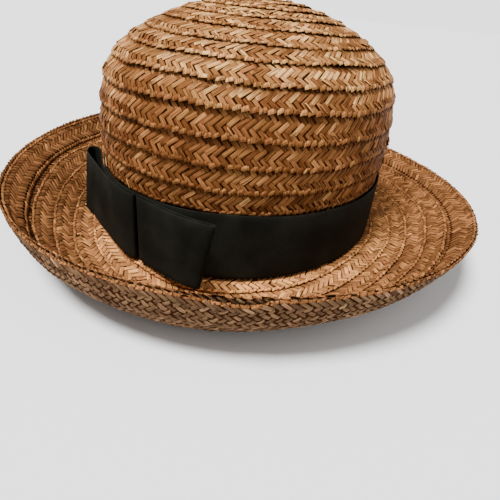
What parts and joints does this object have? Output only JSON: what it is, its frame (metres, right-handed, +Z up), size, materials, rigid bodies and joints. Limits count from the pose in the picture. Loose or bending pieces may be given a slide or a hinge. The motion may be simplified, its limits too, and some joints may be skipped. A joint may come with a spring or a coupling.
{
  "type": "straw bowler hat",
  "caption": "Straw bowler hat of sewn braid: hollow domed crown, rolled brim, black ribbon band with a flat bow; rests on its brim.",
  "frame": {"origin": "on the surface that the brim rests on, under the middle of the hat", "axes": "+Z up the crown; Y along the length of the head, with the bow on the -Y side; X across the head"},
  "size_m": [0.3007, 0.3126, 0.1385],
  "materials": {
    "crown_straw": "golden tan straw braid, softly glossy",
    "brim_straw": "brown tan straw braid, softly glossy",
    "ribbon": "black ribbed ribbon, matt"
  },
  "bodies": {
    "root": {"crown": "crown_straw", "brim": "brim_straw", "hat_band": "ribbon", "bow_loop_left": "ribbon", "bow_loop_right": "ribbon"}
  },
  "joints": []
}
